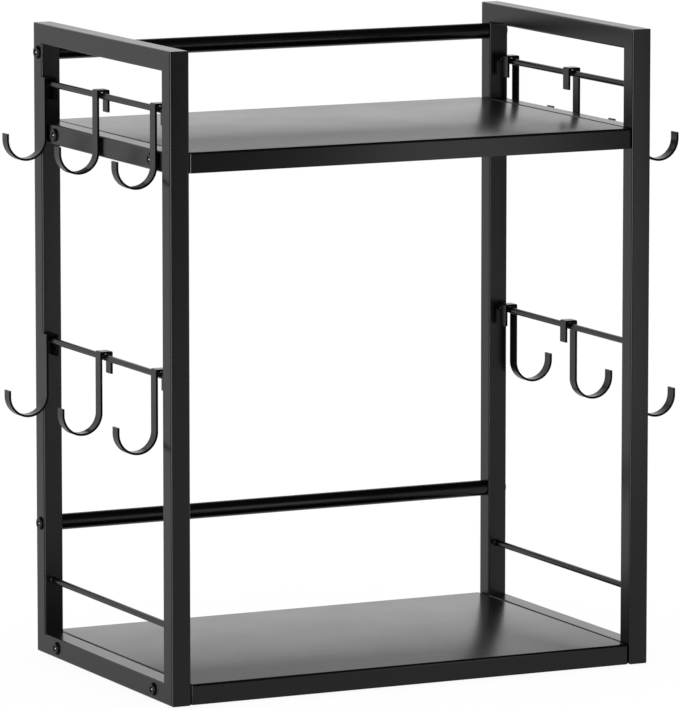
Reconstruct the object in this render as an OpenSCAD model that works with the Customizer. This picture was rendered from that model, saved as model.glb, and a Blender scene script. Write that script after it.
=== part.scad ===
// Two-tier coffee station organizer: two welded side frames of square tube, two folded
// sheet shelves, two round rear rails and twelve loose J-hooks that hang on side rods.
// Origin at the centre of the footprint on the worktop. Front is -Y, left is -X.

/* [Overall size] */
// Width over the two side frames
overall_w = 410; // [330:1:520]
// Depth over the front and rear posts
overall_d = 258; // [240:1:340]
// Height from the worktop to the top of the side frames
overall_h = 500; // [440:1:640]

/* [Frame tube] */
// Outside size of the square tube of posts, top rails and bottom rails
tube = 16; // [16:0.5:20]
// Wall of the square tube
tube_wall = 1.2; // [0.8:0.1:2]
// Outside corner radius of the square tube
tube_corner_r = 1.5; // [0.5:0.1:3]

/* [Shelf rails] */
// Width of the side rails that carry the upper shelf, a little slimmer than the posts
shelf_rail_w = 15; // [13:0.5:15.5]
// Height of the side rails that carry the upper shelf
shelf_rail_h = 16; // [14:0.5:20]

/* [Shelves] */
// Distance from the top of the side frames down to the upper shelf's top face
upper_shelf_drop = 77; // [72:1:140]
// Thickness of the shelf sheet
sheet = 1.2; // [0.8:0.1:2]
// Height of the folded-down flanges
flange_h = 15.8; // [13.5:0.1:15.8]
// Outside radius of the shelf's four upright corners
shelf_corner_r = 2; // [1:0.1:4]
// Gap between each shelf end and the side frames
shelf_end_gap = 0.6; // [0.3:0.1:1.5]
// How far the front and rear flanges stand behind the faces of the posts
shelf_setback = 0.5; // [0.2:0.1:3]

/* [Side rods] */
// Diameter of the side rods
rod_d = 5; // [3:0.1:6]
// Distance from a frame's outer face to the centre of its two hook rods
hook_rod_inset = 3.5; // [3.2:0.1:4.4]
// Distance from a frame's outer face to the centre of its lower rod
lower_rod_inset = 8; // [4:0.1:10]
// Height of the upper rods above the upper shelf
upper_rod_rise = 30.8; // [24:0.1:34]
// Distance from the upper shelf's top face down to the middle rods
middle_rod_drop = 171.6; // [110:0.1:190]
// Height of the lower rods above the lower shelf
lower_rod_rise = 42.5; // [20:0.1:80]

/* [Rear rails] */
// Diameter of the round rear rails
rear_rail_d = 12.7; // [10:0.1:15]
// Wall of the round rear rails
rear_rail_wall = 1.2; // [0.8:0.1:1.5]
// Gap between the upper rear rail and the level of the top rails' undersides
upper_rear_rail_gap = 0.5; // [0.3:0.1:20]
// Height of the lower rear rail's centre above the lower shelf
lower_rear_rail_rise = 87.4; // [40:0.1:150]
// Length of the threaded plug in each end of a rear rail
plug_l = 16; // [12:1:30]
// Radial gap between a plug and the bore of its rail
plug_gap = 0.15; // [0.1:0.01:0.2]

/* [Screws] */
// Diameter of the screw shanks
screw_d = 6; // [4:0.5:7]
// Diameter of the domed screw heads
head_d = 10.5; // [9:0.1:11]
// Height of the domed screw heads
head_h = 1.8; // [1.4:0.1:2.4]
// Height of the straight rim below each dome
head_rim = 0.8; // [0.4:0.1:1]
// Diameter of the flat top of each dome
head_flat_d = 8.4; // [7:0.1:9]
// Width across the flats of the hexagon socket
socket_af = 4; // [2.5:0.5:4]
// Depth of the hexagon socket
socket_depth = 2; // [1:0.1:2.5]
// Radial gap between a shank and the holes that it passes
hole_gap = 0.3; // [0.2:0.05:0.5]
// Radial gap between a shank and the thread that holds it
thread_gap = 0.15; // [0.1:0.01:0.2]
// Room for a hook's play between a post and the shelf screw next to it
outer_hook_play = 7.75; // [7.75:0.25:30]
// How much further forward the lower shelf's front screws sit than the upper shelf's
lower_front_screw_shift = 3.4; // [0:0.1:6]
// How far a screw's end stands past the thread of its nut
screw_end = 0.8; // [0:0.1:3]
// How deep a rear rail's screw reaches into its plug
plug_grip = 12; // [8:1:12]
// Width across the flats of the weld nuts inside the shelf flanges
nut_af = 10; // [8:0.5:11]
// Thickness of the weld nuts
nut_h = 5; // [3:0.5:6]

/* [Hooks] */
// Width of the flat strip that the hooks are bent from
strip_w = 9.5; // [6:0.5:12]
// Thickness of the flat strip
strip_t = 1.8; // [1:0.1:2]
// Gap between a hook's clip and the rod at each side
clip_side_gap = 1; // [0.8:0.1:2]
// Gap between the rod's top and the underside of the clip that hangs on it
clip_seat_gap = 0.6; // [0.3:0.1:0.9]
// Length of the clip's short inner leg, from the hook's top
inner_leg_l = 17.7; // [12:0.1:22]
// Height of a hook from its top to its lowest point
hook_h = 64.5; // [50:0.5:90]
// Inside radius of the J-shaped cup
cup_r = 15.1; // [10:0.1:22]
// Straight upturned tip beyond the cup
tip_l = 5; // [0.5:0.5:12]
// Outside radius of the two square bends of the clip
clip_bend_r = 1.2; // [0.5:0.1:1.5]

/* [Hook places] */
// Gap between the rear post and the left upper rear hook
left_upper_rear_gap = 0.3; // [0.3:0.1:7.4]
// Distance of the left upper centre hook behind the middle of its rod
left_upper_centre_y = 6.5; // [-40:0.5:40]
// Gap between the front post and the left upper front hook
left_upper_front_gap = 7.4; // [0.3:0.1:7.4]
// Gap between the rear post and the left middle rear hook
left_middle_rear_gap = 0.9; // [0.3:0.1:40]
// Distance of the left middle centre hook behind the middle of its rod
left_middle_centre_y = 3; // [-40:0.5:40]
// Gap between the front post and the left middle front hook
left_middle_front_gap = 7.5; // [0.3:0.1:40]
// Gap between the rear post and the right upper rear hook
right_upper_rear_gap = 7.4; // [0.3:0.1:7.4]
// Distance of the right upper centre hook behind the middle of its rod
right_upper_centre_y = -4; // [-40:0.5:40]
// Gap between the front post and the right upper front hook
right_upper_front_gap = 0.3; // [0.3:0.1:7.4]
// Gap between the rear post and the right middle rear hook
right_middle_rear_gap = 5.4; // [0.3:0.1:40]
// Distance of the right middle centre hook behind the middle of its rod
right_middle_centre_y = -1; // [-40:0.5:40]
// Gap between the front post and the right middle front hook
right_middle_front_gap = 2.9; // [0.3:0.1:40]

/* [Hidden] */
$fn = 48;

// Signs of the two sides and of the two ends of a frame
left = -1;
right = 1;
front = -1;
rear = 1;
// Colours of the black coat and of the zinc-plated inner parts
coat = [0.09, 0.09, 0.095];
hook_coat = [0.11, 0.11, 0.115];
plated = [0.62, 0.63, 0.64];
// Overlap that carries a cut past the face that it opens
cut = 1;

// Frame: outer and inner faces of the tubes
frame_x = overall_w / 2;
inner_x = frame_x - tube;
post_y = overall_d / 2 - tube / 2;
rod_l = overall_d - 2 * tube;
tube_inner_r = max(tube_corner_r - tube_wall, 0);
shelf_rail_x = inner_x + shelf_rail_w / 2;
upper_shelf_top = overall_h - upper_shelf_drop;
shelf_rail_z = upper_shelf_top - shelf_rail_h / 2;

// Shelves: the upper one keeps its distance from the top of the frame, and the lower
// one is level with the top of the bottom rails
lower_shelf_top = tube;
shelf_w = 2 * (inner_x - shelf_end_gap);
shelf_d = overall_d - 2 * shelf_setback;
flange_x = shelf_w / 2 - sheet;
shelf_inner_r = max(shelf_corner_r - sheet, 0);

// Rods and rear rails
hook_rod_x = frame_x - hook_rod_inset;
lower_rod_x = frame_x - lower_rod_inset;
upper_rod_z = upper_shelf_top + upper_rod_rise;
middle_rod_z = upper_shelf_top - middle_rod_drop;
lower_rod_z = lower_shelf_top + lower_rod_rise;
upper_rear_rail_z = overall_h - tube - upper_rear_rail_gap - rear_rail_d / 2;
lower_rear_rail_z = lower_shelf_top + lower_rear_rail_rise;
rear_rail_bore = rear_rail_d - 2 * rear_rail_wall;

// Screws: the shelf screws sit at mid-height of the rails that they pass, and far
// enough from the posts for the outer hooks to hang between post and screw
hole_d = screw_d + 2 * hole_gap;
thread_d = screw_d + 2 * thread_gap;
shelf_screw_y = rod_l / 2 - strip_w - outer_hook_play - head_d / 2;
upper_screw_ys = [-shelf_screw_y, shelf_screw_y];
lower_screw_ys = [-shelf_screw_y - lower_front_screw_shift, shelf_screw_y];
upper_screw_z = shelf_rail_z;
lower_screw_z = tube / 2;
upper_screw_face = inner_x + shelf_rail_w;
nut_inner_x = flange_x - nut_h;
// Centre and radius of the ball that shapes the dome
dome_drop = (pow(head_flat_d / 2, 2) + pow(head_h, 2) - pow(head_d / 2, 2) - pow(head_rim, 2))
  / (2 * (head_h - head_rim));
dome_r = sqrt(pow(head_d / 2, 2) + pow(head_rim - dome_drop, 2));

// Hooks: the clip is centred on its rod and hangs from the rod's top
clip_half = rod_d / 2 + clip_side_gap;
hook_top = rod_d / 2 + clip_seat_gap + strip_t;
cup_outer_r = cup_r + strip_t;
cup_x = clip_half + cup_outer_r;
cup_z = hook_top - hook_h + cup_outer_r;

// Place along its rod of a hook that stands a gap away from the post at the given end
function hook_y(end, gap) = end * (rod_l / 2 - strip_w / 2 - gap);

// Rectangle centred on the origin, with round corners unless the radius is nought
module rounded_rect(w, h, r) {
  if (r > 0) {
    square([w - 2 * r, h], center = true);
    square([w, h - 2 * r], center = true);
    for (sx = [-1, 1], sy = [-1, 1])
      translate([sx * (w / 2 - r), sy * (h / 2 - r)])
        circle(r);
  } else {
    square([w, h], center = true);
  }
}

// Section of a hollow tube of the frame's wall
module tube_section(w, h) {
  difference() {
    rounded_rect(w, h, tube_corner_r);
    rounded_rect(w - 2 * tube_wall, h - 2 * tube_wall, tube_inner_r);
  }
}

// Lays a shape drawn in Y and Z across the X direction
module across_x(length) {
  rotate([90, 0, 90])
    linear_extrude(length, center = true)
      children();
}

// Lays a shape drawn in X and Z along the Y direction
module along_y(length) {
  rotate([90, 0, 0])
    linear_extrude(length, center = true)
      children();
}

// Round bar, bore or shank along X, centred on the given point
module bar_x(x, y, z, length, d) {
  translate([x, y, z])
    rotate([0, 90, 0])
      cylinder(d = d, h = length, center = true);
}

// Keeps the part of a frame tube that lies between its two mitres. The four corners
// are those of the tube's side of the frame, seen from the left, outer ones first.
module mitred(side, corners) {
  intersection() {
    children();
    translate([side * (frame_x - tube / 2), 0, 0])
      across_x(tube + 2 * cut)
        polygon(corners);
  }
}

// Front or rear post of a side frame, drilled at the rear for the rear rails
module post(side, end) {
  outer_y = end * (overall_d / 2 + cut);
  inner_y = end * (overall_d / 2 - tube - cut);
  color(coat)
    difference() {
      mitred(side, [
        [outer_y, -cut],
        [outer_y, overall_h + cut],
        [inner_y, overall_h - tube - cut],
        [inner_y, tube + cut]
      ])
        translate([side * (frame_x - tube / 2), end * post_y, 0])
          linear_extrude(overall_h)
            tube_section(tube, tube);
      if (end == rear)
        for (z = [upper_rear_rail_z, lower_rear_rail_z])
          bar_x(side * (frame_x - tube / 2), post_y, z, tube + 2 * cut, hole_d);
    }
}

// Top rail of a side frame, mitred to the posts
module top_rail(side) {
  color(coat)
    mitred(side, [
      [-overall_d / 2 - cut, overall_h + cut],
      [overall_d / 2 + cut, overall_h + cut],
      [overall_d / 2 - tube - cut, overall_h - tube - cut],
      [-overall_d / 2 + tube + cut, overall_h - tube - cut]
    ])
      translate([side * (frame_x - tube / 2), 0, overall_h - tube / 2])
        along_y(overall_d)
          tube_section(tube, tube);
}

// Bottom rail of a side frame, which stands on the worktop and carries the lower shelf
module bottom_rail(side) {
  color(coat)
    difference() {
      mitred(side, [
        [-overall_d / 2 - cut, -cut],
        [overall_d / 2 + cut, -cut],
        [overall_d / 2 - tube - cut, tube + cut],
        [-overall_d / 2 + tube + cut, tube + cut]
      ])
        translate([side * (frame_x - tube / 2), 0, tube / 2])
          along_y(overall_d)
            tube_section(tube, tube);
      for (y = lower_screw_ys)
        bar_x(side * (frame_x - tube / 2), y, lower_screw_z, tube + 2 * cut, hole_d);
    }
}

// Side rail between the posts of a frame, which carries the upper shelf
module shelf_rail(side) {
  color(coat)
    difference() {
      translate([side * shelf_rail_x, 0, shelf_rail_z])
        along_y(rod_l)
          tube_section(shelf_rail_w, shelf_rail_h);
      for (y = upper_screw_ys)
        bar_x(side * shelf_rail_x, y, upper_screw_z, shelf_rail_w + 2 * cut, hole_d);
    }
}

// Thin round rod between the posts of a frame, welded to their facing sides
module side_rod(side, x, z) {
  color(coat)
    translate([side * x, 0, z])
      along_y(rod_l)
        circle(d = rod_d);
}

// Shelf of sheet metal with its four edges folded down, drilled for two screws a side
module shelf(top_z, screw_z, screw_ys) {
  color(coat)
    difference() {
      translate([0, 0, top_z - flange_h])
        linear_extrude(flange_h)
          rounded_rect(shelf_w, shelf_d, shelf_corner_r);
      translate([0, 0, top_z - flange_h - cut])
        linear_extrude(flange_h + cut - sheet)
          rounded_rect(shelf_w - 2 * sheet, shelf_d - 2 * sheet, shelf_inner_r);
      for (side = [left, right], y = screw_ys)
        bar_x(side * (shelf_w / 2 - sheet / 2), y, screw_z, sheet + 2 * cut, hole_d);
    }
}

// Weld nuts behind the four screw holes of a shelf
module weld_nuts(screw_z, screw_ys) {
  color(plated)
    for (side = [left, right], y = screw_ys)
      difference() {
        translate([side * (nut_inner_x + nut_h / 2), y, screw_z])
          rotate([0, 90, 0])
            cylinder(d = nut_af / cos(30), h = nut_h, center = true, $fn = 6);
        bar_x(side * (nut_inner_x + nut_h / 2), y, screw_z, nut_h + 2 * cut, thread_d);
      }
}

// Round tube between the rear posts
module rear_rail(z) {
  color(coat)
    difference() {
      bar_x(0, post_y, z, 2 * inner_x, rear_rail_d);
      bar_x(0, post_y, z, 2 * (inner_x + cut), rear_rail_bore);
    }
}

// Threaded plugs in the two ends of a rear rail
module rail_plugs(z) {
  color(plated)
    for (side = [left, right])
      difference() {
        bar_x(side * (inner_x - plug_l / 2), post_y, z, plug_l, rear_rail_bore - 2 * plug_gap);
        bar_x(side * (inner_x - plug_l / 2), post_y, z, plug_l + 2 * cut, thread_d);
      }
}

// Domed socket screw with its head's seat at the origin and its shank along -Z
module screw(shank_l) {
  color(coat)
    difference() {
      union() {
        intersection() {
          translate([0, 0, dome_drop])
            sphere(dome_r);
          cylinder(d = head_d, h = head_h);
        }
        translate([0, 0, -shank_l])
          cylinder(d = screw_d, h = shank_l + head_rim);
      }
      translate([0, 0, head_h - socket_depth])
        cylinder(d = socket_af / cos(30), h = socket_depth + cut, $fn = 6);
    }
}

// Places a screw on the outer face of a frame, pointing inwards
module screw_at(side, face_x, y, z, shank_l) {
  translate([side * face_x, y, z])
    rotate([0, side * 90, 0])
      screw(shank_l);
}

// Four screws that hold a shelf, through the rails into its weld nuts
module shelf_screws(face_x, z, screw_ys) {
  for (side = [left, right], y = screw_ys)
    screw_at(side, face_x, y, z, face_x - nut_inner_x + screw_end);
}

// Two screws that hold a rear rail, through the rear posts into its plugs
module rail_screws(z) {
  for (side = [left, right])
    screw_at(side, frame_x, post_y, z, tube + plug_grip);
}

// Square bend of the clip: a quarter of a disc in the corner of the strip's outline
module bend(x, z, turn) {
  translate([x, z])
    rotate(turn)
      translate([-clip_bend_r, -clip_bend_r])
        intersection() {
          circle(clip_bend_r);
          square(clip_bend_r);
        }
}

// Outline of a hook seen from the front, with its rod at the origin and its cup
// towards +X: inner leg, top, outer leg, J-shaped cup and upturned tip
module hook_outline() {
  outer = clip_half + strip_t;
  translate([-outer, hook_top - inner_leg_l])
    square([strip_t, inner_leg_l - clip_bend_r]);
  translate([clip_half, cup_z])
    square([strip_t, hook_top - clip_bend_r - cup_z]);
  translate([-outer + clip_bend_r, hook_top - strip_t])
    square([2 * (outer - clip_bend_r), strip_t]);
  bend(outer, hook_top, 0);
  bend(-outer, hook_top, 90);
  difference() {
    translate([cup_x, cup_z])
      circle(cup_outer_r);
    translate([cup_x, cup_z])
      circle(cup_r);
    translate([cup_x - cup_outer_r - cut, cup_z])
      square([2 * (cup_outer_r + cut), cup_outer_r + cut]);
  }
  translate([cup_x + cup_r, cup_z])
    square([strip_t, tip_l]);
}

// J-hook of flat strip that hangs on a rod, with its cup outside the frame
module hook(side, z, y) {
  color(hook_coat)
    translate([side * hook_rod_x, y, z])
      mirror([side == left ? 1 : 0, 0, 0])
        along_y(strip_w)
          hook_outline();
}

post(left, front);  // left_front_post
post(left, rear);  // left_rear_post
top_rail(left);  // left_top_rail
bottom_rail(left);  // left_bottom_rail
shelf_rail(left);  // left_shelf_rail
side_rod(left, hook_rod_x, upper_rod_z);  // left_upper_rod
side_rod(left, hook_rod_x, middle_rod_z);  // left_middle_rod
side_rod(left, lower_rod_x, lower_rod_z);  // left_lower_rod
post(right, front);  // right_front_post
post(right, rear);  // right_rear_post
top_rail(right);  // right_top_rail
bottom_rail(right);  // right_bottom_rail
shelf_rail(right);  // right_shelf_rail
side_rod(right, hook_rod_x, upper_rod_z);  // right_upper_rod
side_rod(right, hook_rod_x, middle_rod_z);  // right_middle_rod
side_rod(right, lower_rod_x, lower_rod_z);  // right_lower_rod
shelf(upper_shelf_top, upper_screw_z, upper_screw_ys);  // upper_shelf
shelf(lower_shelf_top, lower_screw_z, lower_screw_ys);  // lower_shelf
weld_nuts(upper_screw_z, upper_screw_ys);  // upper_shelf_weld_nuts
weld_nuts(lower_screw_z, lower_screw_ys);  // lower_shelf_weld_nuts
rear_rail(upper_rear_rail_z);  // upper_rear_rail
rear_rail(lower_rear_rail_z);  // lower_rear_rail
rail_plugs(upper_rear_rail_z);  // upper_rail_plugs
rail_plugs(lower_rear_rail_z);  // lower_rail_plugs
shelf_screws(upper_screw_face, upper_screw_z, upper_screw_ys);  // upper_shelf_screws
shelf_screws(frame_x, lower_screw_z, lower_screw_ys);  // lower_shelf_screws
rail_screws(upper_rear_rail_z);  // upper_rail_screws
rail_screws(lower_rear_rail_z);  // lower_rail_screws
hook(left, upper_rod_z, hook_y(rear, left_upper_rear_gap));  // left_upper_hook_rear
hook(left, upper_rod_z, left_upper_centre_y);  // left_upper_hook_centre
hook(left, upper_rod_z, hook_y(front, left_upper_front_gap));  // left_upper_hook_front
hook(left, middle_rod_z, hook_y(rear, left_middle_rear_gap));  // left_middle_hook_rear
hook(left, middle_rod_z, left_middle_centre_y);  // left_middle_hook_centre
hook(left, middle_rod_z, hook_y(front, left_middle_front_gap));  // left_middle_hook_front
hook(right, upper_rod_z, hook_y(rear, right_upper_rear_gap));  // right_upper_hook_rear
hook(right, upper_rod_z, right_upper_centre_y);  // right_upper_hook_centre
hook(right, upper_rod_z, hook_y(front, right_upper_front_gap));  // right_upper_hook_front
hook(right, middle_rod_z, hook_y(rear, right_middle_rear_gap));  // right_middle_hook_rear
hook(right, middle_rod_z, right_middle_centre_y);  // right_middle_hook_centre
hook(right, middle_rod_z, hook_y(front, right_middle_front_gap));  // right_middle_hook_front
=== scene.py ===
import math

import bmesh
import bpy
from bpy.props import FloatProperty, FloatVectorProperty, PointerProperty, StringProperty
from mathutils import Matrix, Vector


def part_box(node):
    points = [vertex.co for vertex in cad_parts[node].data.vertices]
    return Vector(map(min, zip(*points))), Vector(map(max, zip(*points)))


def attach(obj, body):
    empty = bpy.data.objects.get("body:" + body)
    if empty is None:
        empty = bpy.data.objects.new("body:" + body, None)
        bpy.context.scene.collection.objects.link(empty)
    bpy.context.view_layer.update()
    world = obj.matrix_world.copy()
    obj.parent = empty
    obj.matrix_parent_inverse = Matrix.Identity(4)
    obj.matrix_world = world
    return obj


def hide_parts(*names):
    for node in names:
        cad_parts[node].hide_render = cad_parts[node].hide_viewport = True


bl_info = {
    "name": "Coffee station organizer",
    "version": (1, 0, 0),
    "blender": (4, 5, 0),
    "location": "3D View > Sidebar > Organizer",
    "description": "Builds the pieces, finishes and studio of a coffee station organizer",
    "category": "Object",
}

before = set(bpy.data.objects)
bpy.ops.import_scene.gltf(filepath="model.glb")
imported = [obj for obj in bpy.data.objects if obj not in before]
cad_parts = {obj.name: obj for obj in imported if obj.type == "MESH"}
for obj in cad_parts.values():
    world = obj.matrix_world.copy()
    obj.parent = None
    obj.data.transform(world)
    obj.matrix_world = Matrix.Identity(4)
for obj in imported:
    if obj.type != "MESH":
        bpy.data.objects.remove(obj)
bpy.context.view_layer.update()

MM = 0.001
# Two places closer than this are the same place
TOUCH = 0.01 * MM
# Corners closer than this are merged
MERGE = 0.001 * MM
# A face or an edge lies straight along an axis if the cosine between them is above this
STRAIGHT = 0.99
SIDES = {"left": -1, "right": 1}
ROWS = ("upper", "middle")
PLACES = ("rear", "centre", "front")
# Body that carries everything but the hooks
FRAME_BODY = "frame"
# Faces round each kind of curve
CORNER_STEPS = 6
BEND_STEPS = 5
CUP_STEPS = 40
ROD_SIDES = 32
RAIL_SIDES = 64
HEAD_SIDES = 48
HEAD_STEPS = 6
SHANK_SIDES = 24
DOME_SIDES = 24
DOME_RINGS = 16
FLOOR_SIDES = 96
# Rings of a weld, from the end of a rod to the weld's toe, as shares of its leg
WELD_RINGS = (0.0, 0.35, 0.7, 1.0)


def length(name, description, size, least):
    """A length for the sidebar, its default and its least value in millimetres."""
    return FloatProperty(
        name=name, description=description, default=size * MM, min=least * MM, unit="LENGTH")


def share(name, description, value):
    """A value from nought to one for the sidebar."""
    return FloatProperty(
        name=name, description=description, default=value, min=0, max=1, subtype="FACTOR")


def colour(name, description, value):
    """An sRGB hex colour for the sidebar."""
    return StringProperty(name=name, description=description, default=value)


class OrganizerSizes(bpy.types.PropertyGroup):
    """Sizes of the details that the finished pieces add to the plain solids"""

    tube_corner: length("Tube corner", "Outside corner radius of the square tube", 1.5, 0.2)
    shelf_corner: length("Shelf corner", "Radius of the upright shelf corners", 2.0, 0.2)
    shelf_bend: length("Shelf bend", "Outside radius of the bend between shelf top and flange", 2.0, 0.2)
    shelf_sheet: length("Shelf sheet", "Thickness of the shelf sheet", 1.2, 0.5)
    rail_chamfer: length("Rail chamfer", "Chamfer round the ends of the rear rails", 0.3, 0.05)
    weld_size: length("Weld size", "Leg of the small fillet welds round the rods", 0.4, 0.1)
    strip_thickness: length("Hook strip", "Thickness of the strip of the hooks", 1.8, 0.5)
    strip_width: length("Hook width", "Width of the strip of the hooks", 9.5, 2.0)
    clip_bend: length("Clip bend", "Outside radius of the two bends of a hook's clip", 1.2, 0.1)
    clip_gap: length("Clip gap", "Inside width of a hook's clip", 7.0, 2.0)
    inner_leg: length("Inner leg", "Length of a clip's inner leg from the hook's top", 17.7, 2.0)
    cup_radius: length("Cup radius", "Inside radius of the J-shaped cup", 15.1, 2.0)
    cup_tip: length("Cup tip", "Straight end of a hook beyond its cup", 5.0, 0.1)
    edge_round: length("Edge round", "Rounding that the coat gives to sheared edges", 0.15, 0.02)
    shank_radius: length("Shank radius", "Radius of the screws' shanks", 3.0, 1.0)
    head_height: length("Head height", "Height of the low screw heads", 1.8, 1.0)
    head_rim: length("Head rim", "Height of the straight rim of a screw head", 0.8, 0.1)
    head_flat: length("Head flat", "Diameter of the flat top of a screw head", 8.4, 2.0)
    head_edge: length("Head edge", "Bevel on the edges of head and socket", 0.12, 0.01)
    socket_flats: length("Socket flats", "Width across the flats of the hexagon sockets", 4.0, 1.0)
    socket_depth: length("Socket depth", "Depth of the hexagon sockets", 1.5, 0.5)
    dome_radius: length("Dome radius", "Radius of the bare dome in a socket", 0.9, 0.2)
    dome_rise: length("Dome rise", "Height of the dome's centre above the socket's floor", 0.45, 0.0)


class OrganizerFinish(bpy.types.PropertyGroup):
    """Colours and gloss of the finishes"""

    coat_colour: colour("Coat colour", "sRGB colour of the powder coat", "#080809")
    shelf_colour: colour("Shelf colour", "sRGB colour of the shelves' coat", "#080809")
    screw_colour: colour("Screw colour", "sRGB colour of the blackened screws", "#1A1A1B")
    zinc_colour: colour("Zinc colour", "sRGB colour of zinc plate", "#A7A9AB")
    steel_colour: colour("Steel colour", "sRGB colour of bare steel", "#E6E6E4")
    coat_roughness: share("Coat roughness", "Roughness of the satin coat", 0.25)
    shelf_roughness: share("Shelf roughness", "Roughness of the shelves' coat", 0.25)
    edge_roughness: share("Edge roughness", "Roughness of the thin coat on sheared edges", 0.5)


class OrganizerStage(bpy.types.PropertyGroup):
    """Camera and floor"""

    camera_place: FloatVectorProperty(
        name="Camera place", description="Where the camera stands",
        default=(-2.29947, -4.73174, 1.00894), size=3, subtype="TRANSLATION", unit="LENGTH")
    camera_turn: FloatVectorProperty(
        name="Camera turn", description="How the camera is turned",
        default=(math.radians(81.690), 0.0, math.radians(-25.912)), size=3, subtype="EULER")
    camera_lens: FloatProperty(
        name="Focal length", description="Focal length for a 36 mm long side, in millimetres",
        default=344.18, min=1)
    camera_shift: FloatVectorProperty(
        name="Camera shift", description="Sideways shift of the lens, as a share of the long side",
        default=(-0.0006, 0.00076), size=2)
    floor_radius: FloatProperty(
        name="Floor radius", description="Radius of the round pale floor",
        default=2.2, min=0.5, unit="LENGTH")


# Helpers for shaping pieces


def nothing_selected():
    if bpy.context.object and bpy.context.object.mode != "OBJECT":
        bpy.ops.object.mode_set(mode="OBJECT")
    bpy.ops.object.select_all(action="DESELECT")


def only(piece):
    nothing_selected()
    piece.select_set(True)
    bpy.context.view_layer.objects.active = piece


def named(name):
    """Names the primitive that was just added, and its mesh."""
    piece = bpy.context.object
    piece.name = name
    piece.data.name = name
    return piece


def pick(piece, faces=None, edges=None, verts=None):
    """Selects the elements that pass a test, in edit mode."""
    mesh = bmesh.from_edit_mesh(piece.data)
    for elements in (mesh.faces, mesh.edges, mesh.verts):
        for element in elements:
            element.select = False
    for elements, test in ((mesh.faces, faces), (mesh.edges, edges), (mesh.verts, verts)):
        if test:
            for element in elements:
                if test(element):
                    element.select_set(True)
    mesh.select_flush_mode()
    bmesh.update_edit_mesh(piece.data)


def edit(mode="EDGE"):
    bpy.ops.object.mode_set(mode="EDIT")
    bpy.ops.mesh.select_mode(type=mode)
    bpy.ops.mesh.select_all(action="DESELECT")


def settle(piece):
    """Leaves edit mode and moves the object's place into its mesh."""
    bpy.ops.object.mode_set(mode="OBJECT")
    only(piece)
    bpy.ops.object.transform_apply(location=True, rotation=True, scale=True)


def apply_modifier(piece, kind, **settings):
    only(piece)
    modifier = piece.modifiers.new(kind.title(), kind)
    for key, value in settings.items():
        setattr(modifier, key, value)
    bpy.ops.object.modifier_apply(modifier=modifier.name)


def outward(piece):
    """Turns all faces outwards after doubles are merged."""
    only(piece)
    edit()
    bpy.ops.mesh.select_all(action="SELECT")
    bpy.ops.mesh.remove_doubles(threshold=MERGE)
    bpy.ops.mesh.normals_make_consistent(inside=False)
    bpy.ops.object.mode_set(mode="OBJECT")


def smooth(piece, degrees=35):
    """Smooths bends and corners between faces that stay flat."""
    only(piece)
    bpy.ops.object.shade_smooth_by_angle(angle=math.radians(degrees))
    apply_modifier(piece, "WEIGHTED_NORMAL", keep_sharp=True, weight=80)


def round_edges(radius, steps):
    """Rounds the selected edges, in edit mode."""
    bpy.ops.mesh.bevel(offset=radius, segments=steps, profile=0.5, affect="EDGES")


def soften(piece, width, degrees):
    """Bevels all edges that are sharper than an angle."""
    apply_modifier(
        piece, "BEVEL", width=width, segments=2, limit_method="ANGLE",
        angle_limit=math.radians(degrees))


def join(pieces):
    """Joins pieces to the first of them."""
    nothing_selected()
    for piece in pieces:
        piece.select_set(True)
    bpy.context.view_layer.objects.active = pieces[0]
    bpy.ops.object.join()


def copied(pattern, name, matrix):
    """A copy of a pattern with its own mesh, moved by a matrix."""
    copy = bpy.data.objects.new(name, pattern.data.copy())
    bpy.context.scene.collection.objects.link(copy)
    copy.data.transform(matrix)
    return copy


def finished(piece, body, node):
    """Hangs a finished piece on its body, in place of the plain solid."""
    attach(piece, body)
    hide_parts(node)


def block(name, low, high):
    """A box between two corners, in edit mode."""
    nothing_selected()
    bpy.ops.mesh.primitive_cube_add(size=1, location=(low + high) / 2, scale=high - low)
    piece = named(name)
    settle(piece)
    edit()
    return piece


def along(edge, axis):
    """True if an edge runs along an axis, 0 to 2."""
    line = (edge.verts[1].co - edge.verts[0].co).normalized()
    return abs(line[axis]) > STRAIGHT


# Finishes


def linear(hex_colour):
    """sRGB hex to a linear RGBA tuple."""
    channels = [int(hex_colour[i:i + 2], 16) / 255 for i in (1, 3, 5)]
    return tuple(c / 12.92 if c <= 0.04045 else ((c + 0.055) / 1.055) ** 2.4 for c in channels) + (1.0,)


def toned(rgba, factor):
    """A linear colour made lighter or darker."""
    return tuple(factor * channel for channel in rgba[:3]) + (1.0,)


def add_node(tree, kind, sockets=None, **settings):
    """Adds a node with its settings. A socket gets a value or a link from (node, output)."""
    node = tree.nodes.new(kind)
    for name, value in settings.items():
        setattr(node, name, value)
    for name, value in (sockets or {}).items():
        if isinstance(value, tuple) and isinstance(value[0], bpy.types.Node):
            source, output = value
            tree.links.new(source.outputs[output], node.inputs[name])
        else:
            node.inputs[name].default_value = value
    return node


def new_material(name):
    """An empty material, its node tree and the source of its Object coordinates."""
    material = bpy.data.materials.new(name)
    material.use_nodes = True
    tree = material.node_tree
    tree.nodes.clear()
    return material, tree, add_node(tree, "ShaderNodeTexCoord")


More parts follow.
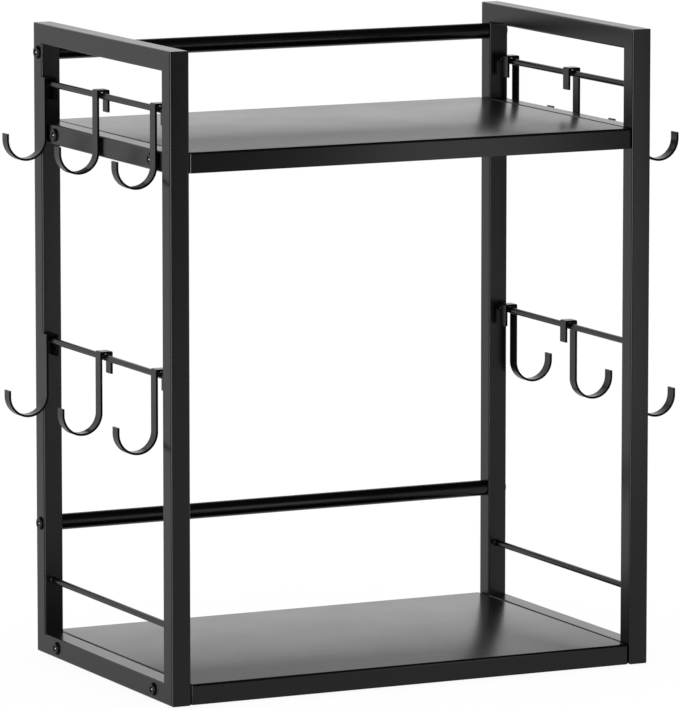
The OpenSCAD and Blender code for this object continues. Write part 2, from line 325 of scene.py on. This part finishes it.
def crown(tree, where, along_x, along_y, lean):
    """Height of a sheet that is pressed slightly domed: parabolas along X and Y and a
    lean to the front."""
    parts = add_node(tree, "ShaderNodeSeparateXYZ", {"Vector": (where, "Object")})
    height = 0.0
    for axis, weight in (("X", -along_x), ("Y", -along_y)):
        square = add_node(tree, "ShaderNodeMath", {0: (parts, axis), 1: (parts, axis)}, operation="MULTIPLY")
        sockets = {0: (square, 0), 1: weight, 2: height}
        height = (add_node(tree, "ShaderNodeMath", sockets, operation="MULTIPLY_ADD"), 0)
    sockets = {0: (parts, "Y"), 1: lean, 2: height}
    return add_node(tree, "ShaderNodeMath", sockets, operation="MULTIPLY_ADD"), 0


def powder_coat(name, hex_colour, roughness, peel, dome=None, ior=1.5):
    """Polyester powder coat, baked on steel: satin, nearly black, with the faint orange
    peel of melted powder and cloudy changes in gloss."""
    peel_width, peel_height, cloud_width = 1.613 * MM, 0.06 * MM, 45.45 * MM
    gloss_spread, darker, lighter = 0.03, 0.85, 1.15
    material, tree, where = new_material(name)
    clouds = add_node(tree, "ShaderNodeTexNoise", {
        "Vector": (where, "Object"), "Scale": 1 / cloud_width, "Detail": 2.0})
    grain = add_node(tree, "ShaderNodeTexNoise", {
        "Vector": (where, "Object"), "Scale": 1 / peel_width, "Detail": 3.0, "Roughness": 0.55})
    gloss = add_node(tree, "ShaderNodeMapRange", {
        "Value": (clouds, "Fac"), "To Min": roughness - gloss_spread, "To Max": roughness + gloss_spread})
    tint = add_node(tree, "ShaderNodeMapRange", {
        "Value": (grain, "Fac"), "From Min": 0.3, "From Max": 0.7})
    base = linear(hex_colour)
    mottled = add_node(tree, "ShaderNodeMix", {
        "Factor": (tint, "Result"), "A": toned(base, darker), "B": toned(base, lighter)},
        data_type="RGBA")
    bump = add_node(tree, "ShaderNodeBump", {
        "Height": (grain, "Fac"), "Strength": peel, "Distance": peel_height})
    if dome:
        bump = add_node(tree, "ShaderNodeBump", {
            "Height": crown(tree, where, *dome), "Normal": (bump, "Normal"), "Strength": 1.0,
            "Distance": 1.0})
    shader = add_node(tree, "ShaderNodeBsdfPrincipled", {
        "Base Color": (mottled, "Result"), "Roughness": (gloss, "Result"), "Normal": (bump, "Normal"),
        "IOR": ior})
    add_node(tree, "ShaderNodeOutputMaterial", {"Surface": (shader, "BSDF")})
    return material


def satin_coat(name):
    """The coat on tubes, rods, rails and the flats of the hooks."""
    finish = bpy.context.scene.organizer_finish
    return powder_coat(name, finish.coat_colour, finish.coat_roughness, peel=0.1)


def smooth_coat(name):
    """The coat on the shelves, which flows flatter on wide sheet. The sheet is pressed
    slightly domed, so that what it mirrors is bent."""
    finish = bpy.context.scene.organizer_finish
    # Weights of the two parabolas, per metre, and slope of the lean
    along_x, along_y, lean = 0.128, 0.329, 0.026
    return powder_coat(
        name, finish.shelf_colour, finish.shelf_roughness, peel=0.03, dome=(along_x, along_y, lean))


def thin_coat(name):
    """The coat that draws back from sheared edges: thin, matt, and dull from a low IOR."""
    finish = bpy.context.scene.organizer_finish
    return powder_coat(name, finish.coat_colour, finish.edge_roughness, peel=0.1, ior=1.2)


def blackened_steel(name):
    """Cold-headed screw steel with a black oxide finish and a film of oil: darker and
    glossier than the coat, with fine turning marks. The marks are drawn coarser than
    real ones, so that they show."""
    mark_width, mark_height = 1.111 * MM, 0.03 * MM
    material, tree, where = new_material(name)
    marks = add_node(tree, "ShaderNodeTexNoise", {
        "Vector": (where, "Object"), "Scale": 1 / mark_width, "Detail": 2.0})
    gloss = add_node(tree, "ShaderNodeMapRange", {"Value": (marks, "Fac"), "To Min": 0.2, "To Max": 0.34})
    bump = add_node(tree, "ShaderNodeBump", {
        "Height": (marks, "Fac"), "Strength": 0.15, "Distance": mark_height})
    shader = add_node(tree, "ShaderNodeBsdfPrincipled", {
        "Base Color": linear(bpy.context.scene.organizer_finish.screw_colour), "Metallic": 0.6,
        "Roughness": (gloss, "Result"), "Normal": (bump, "Normal")})
    add_node(tree, "ShaderNodeOutputMaterial", {"Surface": (shader, "BSDF")})
    return material


def bare_steel(name):
    """Steel that a punch or a key has rubbed bare: bright, metallic, with fine scores."""
    score_width = 0.4 * MM
    material, tree, where = new_material(name)
    scores = add_node(tree, "ShaderNodeTexNoise", {
        "Vector": (where, "Object"), "Scale": 1 / score_width, "Detail": 1.0})
    gloss = add_node(tree, "ShaderNodeMapRange", {"Value": (scores, "Fac"), "To Min": 0.2, "To Max": 0.35})
    shader = add_node(tree, "ShaderNodeBsdfPrincipled", {
        "Base Color": linear(bpy.context.scene.organizer_finish.steel_colour), "Metallic": 1.0,
        "Roughness": (gloss, "Result")})
    add_node(tree, "ShaderNodeOutputMaterial", {"Surface": (shader, "BSDF")})
    return material


def zinc_plate(name):
    """Bright zinc plate from the plating barrel on small steel parts: pale, metallic,
    with faint spangles that differ in tone and gloss."""
    spangle_width = 2 * MM
    material, tree, where = new_material(name)
    spangle = add_node(tree, "ShaderNodeTexVoronoi", {
        "Vector": (where, "Object"), "Scale": 1 / spangle_width})
    gloss = add_node(tree, "ShaderNodeMapRange", {
        "Value": (spangle, "Distance"), "To Min": 0.28, "To Max": 0.45})
    base = linear(bpy.context.scene.organizer_finish.zinc_colour)
    mottled = add_node(tree, "ShaderNodeMix", {
        "Factor": (spangle, "Distance"), "A": base, "B": toned(base, 0.85)}, data_type="RGBA")
    shader = add_node(tree, "ShaderNodeBsdfPrincipled", {
        "Base Color": (mottled, "Result"), "Metallic": 1.0, "Roughness": (gloss, "Result")})
    add_node(tree, "ShaderNodeOutputMaterial", {"Surface": (shader, "BSDF")})
    return material


FINISHES = {
    "satin_black_powder_coat": satin_coat,
    "smooth_black_powder_coat": smooth_coat,
    "thin_black_powder_coat": thin_coat,
    "black_oxide_steel": blackened_steel,
    "bare_bright_steel": bare_steel,
    "bright_zinc_plate": zinc_plate,
}


def finish_named(name):
    """The finish of that name, made the first time it is asked for."""
    return bpy.data.materials.get(name) or FINISHES[name](name)


# Pieces


def tube(name, node, axis, cuts=()):
    """A length of square tube along an axis, its long corners rounded and its ends cut
    by the given planes, each a point and the normal of the side that falls away."""
    low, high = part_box(node)
    piece = block(name, low, high)
    pick(piece, edges=lambda e: along(e, axis))
    round_edges(bpy.context.scene.organizer_sizes.tube_corner, CORNER_STEPS)
    for point, normal in cuts:
        bpy.ops.mesh.select_all(action="SELECT")
        bpy.ops.mesh.bisect(plane_co=point, plane_no=normal, use_fill=True, clear_outer=True)
    settle(piece)
    outward(piece)
    smooth(piece)
    piece.data.materials.append(finish_named("satin_black_powder_coat"))
    return piece


class ORGANIZER_OT_side_frames(bpy.types.Operator):
    """Makes the mitred square-tube loops and the slimmer shelf rails of both sides"""

    bl_idname = "organizer.side_frames"
    bl_label = "Side frames"

    def execute(self, context):
        for side in SIDES:
            low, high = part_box(f"{side}_front_post")
            front_y, top = low.y, high.z
            rear_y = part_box(f"{side}_rear_post")[1].y
            for end, y, name in ((-1, front_y, "front_post"), (1, rear_y, "rear_post")):
                node = f"{side}_{name}"
                cuts = [((0, y, top), (0, -end, 1)), ((0, y, 0), (0, -end, -1))]
                finished(tube(f"{node}_tube", node, 2, cuts), FRAME_BODY, node)
            for name, z, up in (("top_rail", top, 1), ("bottom_rail", 0, -1)):
                node = f"{side}_{name}"
                cuts = [((0, front_y, z), (0, -1, -up)), ((0, rear_y, z), (0, 1, -up))]
                finished(tube(f"{node}_tube", node, 1, cuts), FRAME_BODY, node)
            node = f"{side}_shelf_rail"
            finished(tube(f"{node}_tube", node, 1), FRAME_BODY, node)
        return {"FINISHED"}


def round_bar(name, node, axis, sides, weld=0.0, chamfer=0.0):
    """A round bar along an axis. Its ends flare into small welds, or are chamfered."""
    low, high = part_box(node)
    centre, bar_length = (low + high) / 2, (high - low)[axis]
    radius = (high - low)[(axis + 1) % 3] / 2
    turn = (0, math.pi / 2, 0) if axis == 0 else (math.pi / 2, 0, 0)
    nothing_selected()
    bpy.ops.mesh.primitive_cylinder_add(
        vertices=sides, radius=radius, depth=bar_length, location=centre, rotation=turn)
    piece = named(name)
    settle(piece)
    edit()
    normal = Vector([1.0 if i == axis else 0.0 for i in range(3)])
    rings = WELD_RINGS if weld else (0.0, 1.0)
    reach = weld or chamfer
    for end, face in ((-1, low[axis]), (1, high[axis])):
        for ring in rings[1:]:
            bpy.ops.mesh.select_all(action="SELECT")
            bpy.ops.mesh.bisect(plane_co=placed(centre, axis, face - end * ring * reach), plane_no=normal)
        for ring in rings[:-1]:
            at = face - end * ring * reach
            pick(piece, verts=lambda v, at=at: abs(v.co[axis] - at) < TOUCH)
            grow = weld * (1 - ring) ** 2 if weld else -chamfer
            scale = [1.0 if i == axis else 1 + grow / radius for i in range(3)]
            bpy.ops.transform.resize(value=scale, center_override=placed(centre, axis, at))
    settle(piece)
    outward(piece)
    smooth(piece)
    piece.data.materials.append(finish_named("satin_black_powder_coat"))
    return piece


def placed(point, axis, value):
    """A copy of a point with one of its coordinates changed."""
    moved = point.copy()
    moved[axis] = value
    return moved


class ORGANIZER_OT_side_rods(bpy.types.Operator):
    """Makes the six thin rods of the side frames with the welds at their ends"""

    bl_idname = "organizer.side_rods"
    bl_label = "Side rods"

    def execute(self, context):
        weld = context.scene.organizer_sizes.weld_size
        for side in SIDES:
            for level in ("upper", "middle", "lower"):
                node = f"{side}_{level}_rod"
                finished(round_bar(f"{node}_bar", node, 1, ROD_SIDES, weld=weld), FRAME_BODY, node)
        return {"FINISHED"}


class ORGANIZER_OT_rear_rails(bpy.types.Operator):
    """Makes the two round rails between the rear posts"""

    bl_idname = "organizer.rear_rails"
    bl_label = "Rear rails"

    def execute(self, context):
        chamfer = context.scene.organizer_sizes.rail_chamfer
        for level in ("upper", "lower"):
            node = f"{level}_rear_rail"
            finished(round_bar(f"{node}_tube", node, 0, RAIL_SIDES, chamfer=chamfer), FRAME_BODY, node)
        return {"FINISHED"}


class ORGANIZER_OT_shelves(bpy.types.Operator):
    """Makes the two folded sheet shelves"""

    bl_idname = "organizer.shelves"
    bl_label = "Shelves"

    def execute(self, context):
        sizes = context.scene.organizer_sizes
        for level in ("upper", "lower"):
            node = f"{level}_shelf"
            low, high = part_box(node)
            piece = block(f"{node}_sheet", low, high)
            pick(piece, edges=lambda e: along(e, 2))
            round_edges(sizes.shelf_corner, CORNER_STEPS)
            pick(piece, faces=lambda f: f.normal.z > STRAIGHT)
            bpy.ops.mesh.region_to_loop()
            round_edges(sizes.shelf_bend, BEND_STEPS)
            bpy.ops.mesh.select_mode(type="FACE")
            pick(piece, faces=lambda f: f.normal.z < -STRAIGHT)
            bpy.ops.mesh.delete(type="FACE")
            settle(piece)
            apply_modifier(
                piece, "SOLIDIFY", thickness=sizes.shelf_sheet, offset=-1.0, use_even_offset=True)
            outward(piece)
            smooth(piece)
            piece.data.materials.append(finish_named("smooth_black_powder_coat"))
            finished(piece, FRAME_BODY, node)
        return {"FINISHED"}


def head_radius():
    """Radius of the screw heads, from a pair of screws that share one axis."""
    low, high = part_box("upper_rail_screws")
    return (high - low).y / 2


def socket_dome(floor_z):
    """The bare steel dome that the forming punch leaves in the middle of a socket's floor."""
    sizes = bpy.context.scene.organizer_sizes
    sunk = 0.05 * MM
    nothing_selected()
    bpy.ops.mesh.primitive_uv_sphere_add(
        segments=DOME_SIDES, ring_count=DOME_RINGS, radius=sizes.dome_radius,
        location=(0, 0, floor_z + sizes.dome_rise))
    dome = named("socket_dome")
    settle(dome)
    edit()
    bpy.ops.mesh.select_all(action="SELECT")
    bpy.ops.mesh.bisect(
        plane_co=(0, 0, floor_z - sunk), plane_no=(0, 0, 1), use_fill=True, clear_inner=True)
    settle(dome)
    outward(dome)
    dome.data.materials.append(finish_named("bare_bright_steel"))
    return dome


def button_head():
    """A low domed screw head with a hexagon socket, its seat at the origin, facing +Z."""
    sizes = bpy.context.scene.organizer_sizes
    radius, flat, top = head_radius(), sizes.head_flat / 2, sizes.head_height
    nothing_selected()
    bpy.ops.mesh.primitive_cylinder_add(
        vertices=HEAD_SIDES, radius=radius, depth=sizes.head_rim, location=(0, 0, sizes.head_rim / 2))
    piece = named("button_head")
    settle(piece)
    edit("FACE")
    # The dome follows an arc of this angle from the rim to the flat
    arc = math.radians(50)
    last, level = radius, sizes.head_rim
    for i in range(1, HEAD_STEPS + 1):
        a = arc * i / HEAD_STEPS
        ring = flat + (radius - flat) * (math.cos(a) - math.cos(arc)) / (1 - math.cos(arc))
        height = sizes.head_rim + (top - sizes.head_rim) * math.sin(a) / math.sin(arc)
        pick(piece, faces=lambda f: f.normal.z > STRAIGHT)
        bpy.ops.mesh.extrude_region_move(TRANSFORM_OT_translate={"value": (0, 0, height - level)})
        bpy.ops.transform.resize(value=(ring / last, ring / last, 1), center_override=(0, 0, height))
        last, level = ring, height
    settle(piece)
    nothing_selected()
    corner = sizes.socket_flats / 2 / math.cos(math.pi / 6)
    bpy.ops.mesh.primitive_cylinder_add(
        vertices=6, radius=corner, depth=2 * sizes.socket_depth, location=(0, 0, top))
    key = named("hexagon_key")
    settle(key)
    apply_modifier(piece, "BOOLEAN", operation="DIFFERENCE", object=key, solver="EXACT")
    bpy.data.objects.remove(key)
    outward(piece)
    soften(piece, sizes.head_edge, degrees=40)
    piece.data.materials.append(finish_named("black_oxide_steel"))
    join([piece, socket_dome(top - sizes.socket_depth)])
    smooth(piece, degrees=30)
    return piece


class ORGANIZER_OT_screws(bpy.types.Operator):
    """Makes the heads and shanks of the socket screws"""

    bl_idname = "organizer.screws"
    bl_label = "Screws"

    def execute(self, context):
        pattern = button_head()
        radius = head_radius()
        for node in ("upper_shelf_screws", "lower_shelf_screws", "upper_rail_screws", "lower_rail_screws"):
            low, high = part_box(node)
            seat = high.x - context.scene.organizer_sizes.head_height
            # Screws that share one axis have the same first and last place
            places = sorted({round(low.y + radius, 6), round(high.y - radius, 6)})
            screws = []
            for side in SIDES.values():
                for y in places:
                    centre = Vector((0, y, (low.z + high.z) / 2))
                    screws.append(self.head(pattern, node, side, centre + Vector((side * seat, 0, 0))))
                    screws.append(self.shank(node, side, centre, seat))
            join(screws)
            piece = named(f"{node}_set")
            smooth(piece, degrees=30)
            finished(piece, FRAME_BODY, node)
        bpy.data.objects.remove(pattern)
        return {"FINISHED"}

    @staticmethod
    def head(pattern, node, side, seat):
        """A copy of the head, turned outwards and moved to its seat."""
        turn = Matrix.Rotation(side * math.pi / 2, 4, "Y")
        return copied(pattern, f"{node}_copy", Matrix.Translation(seat) @ turn)

    @staticmethod
    def shank(node, side, centre, seat):
        """A plain shank from the head's seat to where the shanks of the node end."""
        tip = min(abs(v.co.x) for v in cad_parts[node].data.vertices)
        nothing_selected()
        bpy.ops.mesh.primitive_cylinder_add(
            vertices=SHANK_SIDES, radius=bpy.context.scene.organizer_sizes.shank_radius, depth=seat - tip,
            location=centre + Vector((side * (seat + tip) / 2, 0, 0)), rotation=(0, math.pi / 2, 0))
        shank = named(f"{node}_shank")
        settle(shank)
        shank.data.materials.append(finish_named("black_oxide_steel"))
        return shank


def push(x, z):
    """Extrudes the selected end face of a hook's strip."""
    bpy.ops.mesh.extrude_region_move(TRANSFORM_OT_translate={"value": (x, 0, z)})


def pick_face_at(piece, x, z):
    pick(piece, faces=lambda f: (f.calc_center_median() - Vector((x, 0, z))).length < TOUCH)


def strip_hook(name):
    """A hook bent from flat strip, with its rod at the origin and its cup towards +X.
    The strip's end face is pushed round the hook's line, bend by bend."""
    sizes = bpy.context.scene.organizer_sizes
    low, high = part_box("right_upper_hook_centre")
    rod_low, rod_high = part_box("right_upper_rod")
    rod = (rod_low + rod_high) / 2
    top, bottom = high.z - rod.z, low.z - rod.z
    thickness, half, cup = sizes.strip_thickness, sizes.clip_gap / 2, sizes.cup_radius
    under, start, cup_z = top - thickness, top - sizes.inner_leg, bottom + cup + thickness
    nothing_selected()
    bpy.ops.mesh.primitive_plane_add(size=1, location=(-half - thickness / 2, 0, start))
    piece = named(name)
    piece.scale = (thickness, sizes.strip_width, 1)
    settle(piece)
    edit("FACE")
    bpy.ops.mesh.select_all(action="SELECT")
    # Up the inner leg, across the top and down the outer leg, with a square block at each corner
    push(0, under - start)
    push(0, thickness)
    pick_face_at(piece, -half, top - thickness / 2)
    push(2 * half, 0)
    push(thickness, 0)
    pick_face_at(piece, half + thickness / 2, under)
    push(0, cup_z - under)
    bpy.ops.mesh.spin(
        steps=CUP_STEPS, angle=math.pi, center=(half + thickness + cup, 0, cup_z), axis=(0, 1, 0))
    push(0, sizes.cup_tip)
    settle(piece)
    outward(piece)
    edit()

    def is_outer_corner(e):
        at_top = all(v.co.z > top - TOUCH for v in e.verts)
        return at_top and along(e, 1) and abs(abs(e.verts[0].co.x) - half - thickness) < TOUCH

    pick(piece, edges=is_outer_corner)
    round_edges(sizes.clip_bend, BEND_STEPS)
    bpy.ops.object.mode_set(mode="OBJECT")
    soften(piece, sizes.edge_round, degrees=50)
    smooth(piece, degrees=40)
    # The coat is thin on the sheared edges, which face along the rod
    piece.data.materials.append(finish_named("satin_black_powder_coat"))
    piece.data.materials.append(finish_named("thin_black_powder_coat"))
    only(piece)
    edit("FACE")
    sideways = math.cos(math.radians(60))
    pick(piece, faces=lambda f: abs(f.normal.y) > sideways)
    piece.active_material_index = 1
    bpy.ops.object.material_slot_assign()
    bpy.ops.object.mode_set(mode="OBJECT")
    return piece


class ORGANIZER_OT_hooks(bpy.types.Operator):
    """Bends one hook from strip and hangs a copy of it at each place"""

    bl_idname = "organizer.hooks"
    bl_label = "Hooks"

    def execute(self, context):
        pattern = strip_hook("hook_pattern")
        for side, sign in SIDES.items():
            turn = Matrix.Rotation(math.pi if sign < 0 else 0.0, 4, "Z")
            for row in ROWS:
                rod_low, rod_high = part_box(f"{side}_{row}_rod")
                rod = (rod_low + rod_high) / 2
                for place in PLACES:
                    node = f"{side}_{row}_hook_{place}"
                    low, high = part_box(node)
                    move = Matrix.Translation((rod.x, (low.y + high.y) / 2, rod.z))
                    finished(copied(pattern, f"{node}_strip", move @ turn), node, node)
        bpy.data.objects.remove(pattern)
        return {"FINISHED"}


class ORGANIZER_OT_inner_fittings(bpy.types.Operator):
    """Gives the weld nuts and the threaded rail plugs their zinc plate"""

    bl_idname = "organizer.inner_fittings"
    bl_label = "Inner fittings"

    def execute(self, context):
        for level in ("upper", "lower"):
            for node in (f"{level}_shelf_weld_nuts", f"{level}_rail_plugs"):
                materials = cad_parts[node].data.materials
                materials.clear()
                materials.append(finish_named("bright_zinc_plate"))
        return {"FINISHED"}


# Studio


# Lamps that the coat mirrors: place, width, height and brightness of the face
LAMPS = {
    "key_softbox": ((-1.75, -1.25, 0.75), 0.9, 1.7, 6.0),
    "right_card": ((0.585, -1.15, 0.1), 0.27, 0.8, 1.22),
}
# Fades of the room that the coat mirrors: the axis of the direction, where the fade
# starts and ends on it, and the levels there, of which one is another fade
ROOM_FADES = {
    "behind": ("Y", 0.3, 0.75, 0.01, 1.0),
    "brighter_right": ("X", -0.3, 0.3, 0.63, 1.03),
    "right_wall": ("X", 0.8, 0.98, 0.12, 0.4),
    "overhead": ("X", -0.25, 0.15, 0.5, 0.1),
    "ceiling": ("Z", 0.32, 0.72, 1.0, "overhead"),
}


class ORGANIZER_OT_stage(bpy.types.Operator):
    """Sets the floor, the soft studio light, the white background and the camera"""

    bl_idname = "organizer.stage"
    bl_label = "Stage"

    def execute(self, context):
        stage = context.scene.organizer_stage
        self.floor(stage.floor_radius)
        self.room()
        self.lamps()
        self.camera(stage)
        context.scene.view_settings.view_transform = "Standard"
        return {"FINISHED"}

    def camera(self, stage):
        data = bpy.data.cameras.new("photo_camera")
        data.sensor_width = 36
        data.lens = stage.camera_lens
        data.shift_x, data.shift_y = stage.camera_shift
        data.clip_end = 60
        camera = bpy.data.objects.new("photo_camera", data)
        camera.location = stage.camera_place
        camera.rotation_euler = stage.camera_turn
        bpy.context.scene.collection.objects.link(camera)
        bpy.context.scene.camera = camera

    def floor(self, radius):
        """A pale floor just below the object. The camera sees it white, with a faint
        shadow. Reflections see it glow grey, lighter behind, with a painted pool of
        light in front on the left, towards the softbox, whose light the floor does not get."""
        drop = 0.4 * MM
        nothing_selected()
        bpy.ops.mesh.primitive_circle_add(
            vertices=FLOOR_SIDES, radius=radius, fill_type="NGON", location=(0, 0, -drop))
        piece = named("pale_floor")
        settle(piece)
        material, tree, where = new_material("pale_studio_floor")
        # Glow in front and behind, of the painted pool of light towards the softbox, and for the camera
        front_grey, rear_grey, painted_pool, white = 0.41, 0.53, 3.4, 0.92
        front_y, rear_y = -0.3, 0.5
        parts = add_node(tree, "ShaderNodeSeparateXYZ", {"Vector": (where, "Object")})
        grey = add_node(tree, "ShaderNodeMapRange", {
            "Value": (parts, "Y"), "From Min": front_y, "From Max": rear_y, "To Min": front_grey,
            "To Max": rear_grey}, interpolation_type="SMOOTHSTEP")
        # The painted pool of light is a glowing wedge that opens from the left front post towards the
        # softbox. Its edge and its core are cosines of the angle to the middle of the wedge.
        post_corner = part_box("left_front_post")[0]
        towards_softbox, wedge_edge, wedge_core = (-0.81, -0.58, 0.0), 0.93, 0.99
        from_post = add_node(tree, "ShaderNodeVectorMath", {
            0: (where, "Object"), 1: post_corner}, operation="SUBTRACT")
        heading = add_node(tree, "ShaderNodeVectorMath", {0: (from_post, "Vector")}, operation="NORMALIZE")
        facing = add_node(tree, "ShaderNodeVectorMath", {
            0: (heading, "Vector"), 1: towards_softbox}, operation="DOT_PRODUCT")
        mirrored = add_node(tree, "ShaderNodeMapRange", {
            "Value": (facing, "Value"), "From Min": wedge_edge, "From Max": wedge_core,
            "To Min": (grey, "Result"), "To Max": painted_pool}, interpolation_type="SMOOTHSTEP")
        ray = add_node(tree, "ShaderNodeLightPath")
        glow = add_node(tree, "ShaderNodeMix", {
            "Factor": (ray, "Is Camera Ray"), "A": (mirrored, "Result"), "B": white}, data_type="FLOAT")
        # Only the camera and reflections see the glow
        shown = add_node(tree, "ShaderNodeMath", {
            0: (ray, "Is Camera Ray"), 1: (ray, "Is Glossy Ray")}, operation="MAXIMUM")
        shown = add_node(tree, "ShaderNodeMath", {
            0: (shown, 0), 1: (ray, "Is Transmission Ray")}, operation="MAXIMUM")
        strength = add_node(tree, "ShaderNodeMath", {
            0: (glow, "Result"), 1: (shown, 0)}, operation="MULTIPLY")
        shader = add_node(tree, "ShaderNodeBsdfPrincipled", {
            "Base Color": (0.15, 0.15, 0.15, 1), "Roughness": 0.9, "Specular IOR Level": 0.0,
            "Emission Color": (1, 1, 1, 1), "Emission Strength": (strength, 0)})
        add_node(tree, "ShaderNodeOutputMaterial", {"Surface": (shader, "BSDF")})
        piece.data.materials.append(material)

    def room(self):
        """A room that the camera sees white and that lights the object evenly. Reflections
        see a white backdrop behind, brightest on the right, a grey wall on the far right,
        weak light elsewhere, and a dark ceiling, darkest on the right."""
        white, even_light = 1.0, 0.6
        world = bpy.data.worlds.new("white_studio")
        bpy.context.scene.world = world
        world.use_nodes = True
        tree = world.node_tree
        tree.nodes.clear()
        where = add_node(tree, "ShaderNodeTexCoord")
        parts = add_node(tree, "ShaderNodeSeparateXYZ", {"Vector": (where, "Generated")})
        fades = {}
        for name, (axis, start, end, first, last) in ROOM_FADES.items():
            fade = add_node(tree, "ShaderNodeMapRange", {
                "Value": (parts, axis), "From Min": start, "From Max": end, "To Min": first,
                "To Max": fades.get(last, last)}, interpolation_type="SMOOTHSTEP")
            fades[name] = (fade, "Result")
        backdrop = add_node(tree, "ShaderNodeMath", {
            0: fades["behind"], 1: fades["brighter_right"]}, operation="MULTIPLY")
        walls = add_node(tree, "ShaderNodeMath", {
            0: (backdrop, 0), 1: fades["right_wall"]}, operation="MAXIMUM")
        mirrored = add_node(tree, "ShaderNodeMath", {
            0: (walls, 0), 1: fades["ceiling"]}, operation="MULTIPLY")
        ray = add_node(tree, "ShaderNodeLightPath")
        is_mirrored = add_node(tree, "ShaderNodeMath", {
            0: (ray, "Is Glossy Ray"), 1: (ray, "Is Transmission Ray")}, operation="MAXIMUM")
        level = add_node(tree, "ShaderNodeMix", {
            "Factor": (is_mirrored, 0), "A": even_light, "B": (mirrored, 0)}, data_type="FLOAT")
        level = add_node(tree, "ShaderNodeMix", {
            "Factor": (ray, "Is Camera Ray"), "A": (level, "Result"), "B": white}, data_type="FLOAT")
        light = add_node(tree, "ShaderNodeBackground", {
            "Color": (1, 1, 1, 1), "Strength": (level, "Result")})
        add_node(tree, "ShaderNodeOutputWorld", {"Surface": (light, "Background")})

    def lamps(self):
        """Area lamps that only reflections see, level and turned to the organizer."""
        for name, (place, width, height, brightness) in LAMPS.items():
            data = bpy.data.lights.new(name, "AREA")
            data.shape = "RECTANGLE"
            data.size, data.size_y = width, height
            data.energy = math.pi * width * height * brightness
            lamp = bpy.data.objects.new(name, data)
            lamp.location = place
            lamp.visible_diffuse = False
            aim = Vector((0, 0, place[2])) - lamp.location
            lamp.rotation_euler = aim.to_track_quat("-Z", "Y").to_euler()
            bpy.context.scene.collection.objects.link(lamp)


OPERATORS = (
    ORGANIZER_OT_side_frames, ORGANIZER_OT_side_rods, ORGANIZER_OT_rear_rails, ORGANIZER_OT_shelves,
    ORGANIZER_OT_screws, ORGANIZER_OT_hooks, ORGANIZER_OT_inner_fittings, ORGANIZER_OT_stage,
)


class ORGANIZER_PT_panel(bpy.types.Panel):
    """Lists the operators and the settings in the 3D view's sidebar"""

    bl_label = "Organizer"
    bl_idname = "ORGANIZER_PT_panel"
    bl_space_type = "VIEW_3D"
    bl_region_type = "UI"
    bl_category = "Organizer"

    def draw(self, context):
        for operator in OPERATORS:
            self.layout.operator(operator.bl_idname)
        scene = context.scene
        for group in (scene.organizer_sizes, scene.organizer_finish, scene.organizer_stage):
            for name in group.__annotations__:
                self.layout.prop(group, name)


CLASSES = (OrganizerSizes, OrganizerFinish, OrganizerStage) + OPERATORS + (ORGANIZER_PT_panel,)


def register():
    for cls in CLASSES:
        bpy.utils.register_class(cls)
    bpy.types.Scene.organizer_sizes = PointerProperty(type=OrganizerSizes)
    bpy.types.Scene.organizer_finish = PointerProperty(type=OrganizerFinish)
    bpy.types.Scene.organizer_stage = PointerProperty(type=OrganizerStage)


def unregister():
    del bpy.types.Scene.organizer_sizes
    del bpy.types.Scene.organizer_finish
    del bpy.types.Scene.organizer_stage
    for cls in reversed(CLASSES):
        bpy.utils.unregister_class(cls)


def main():
    register()
    bpy.ops.organizer.side_frames()
    bpy.ops.organizer.side_rods()
    bpy.ops.organizer.rear_rails()
    bpy.ops.organizer.shelves()
    bpy.ops.organizer.screws()
    bpy.ops.organizer.hooks()
    bpy.ops.organizer.inner_fittings()
    bpy.ops.organizer.stage()


if __name__ == "__main__":
    main()
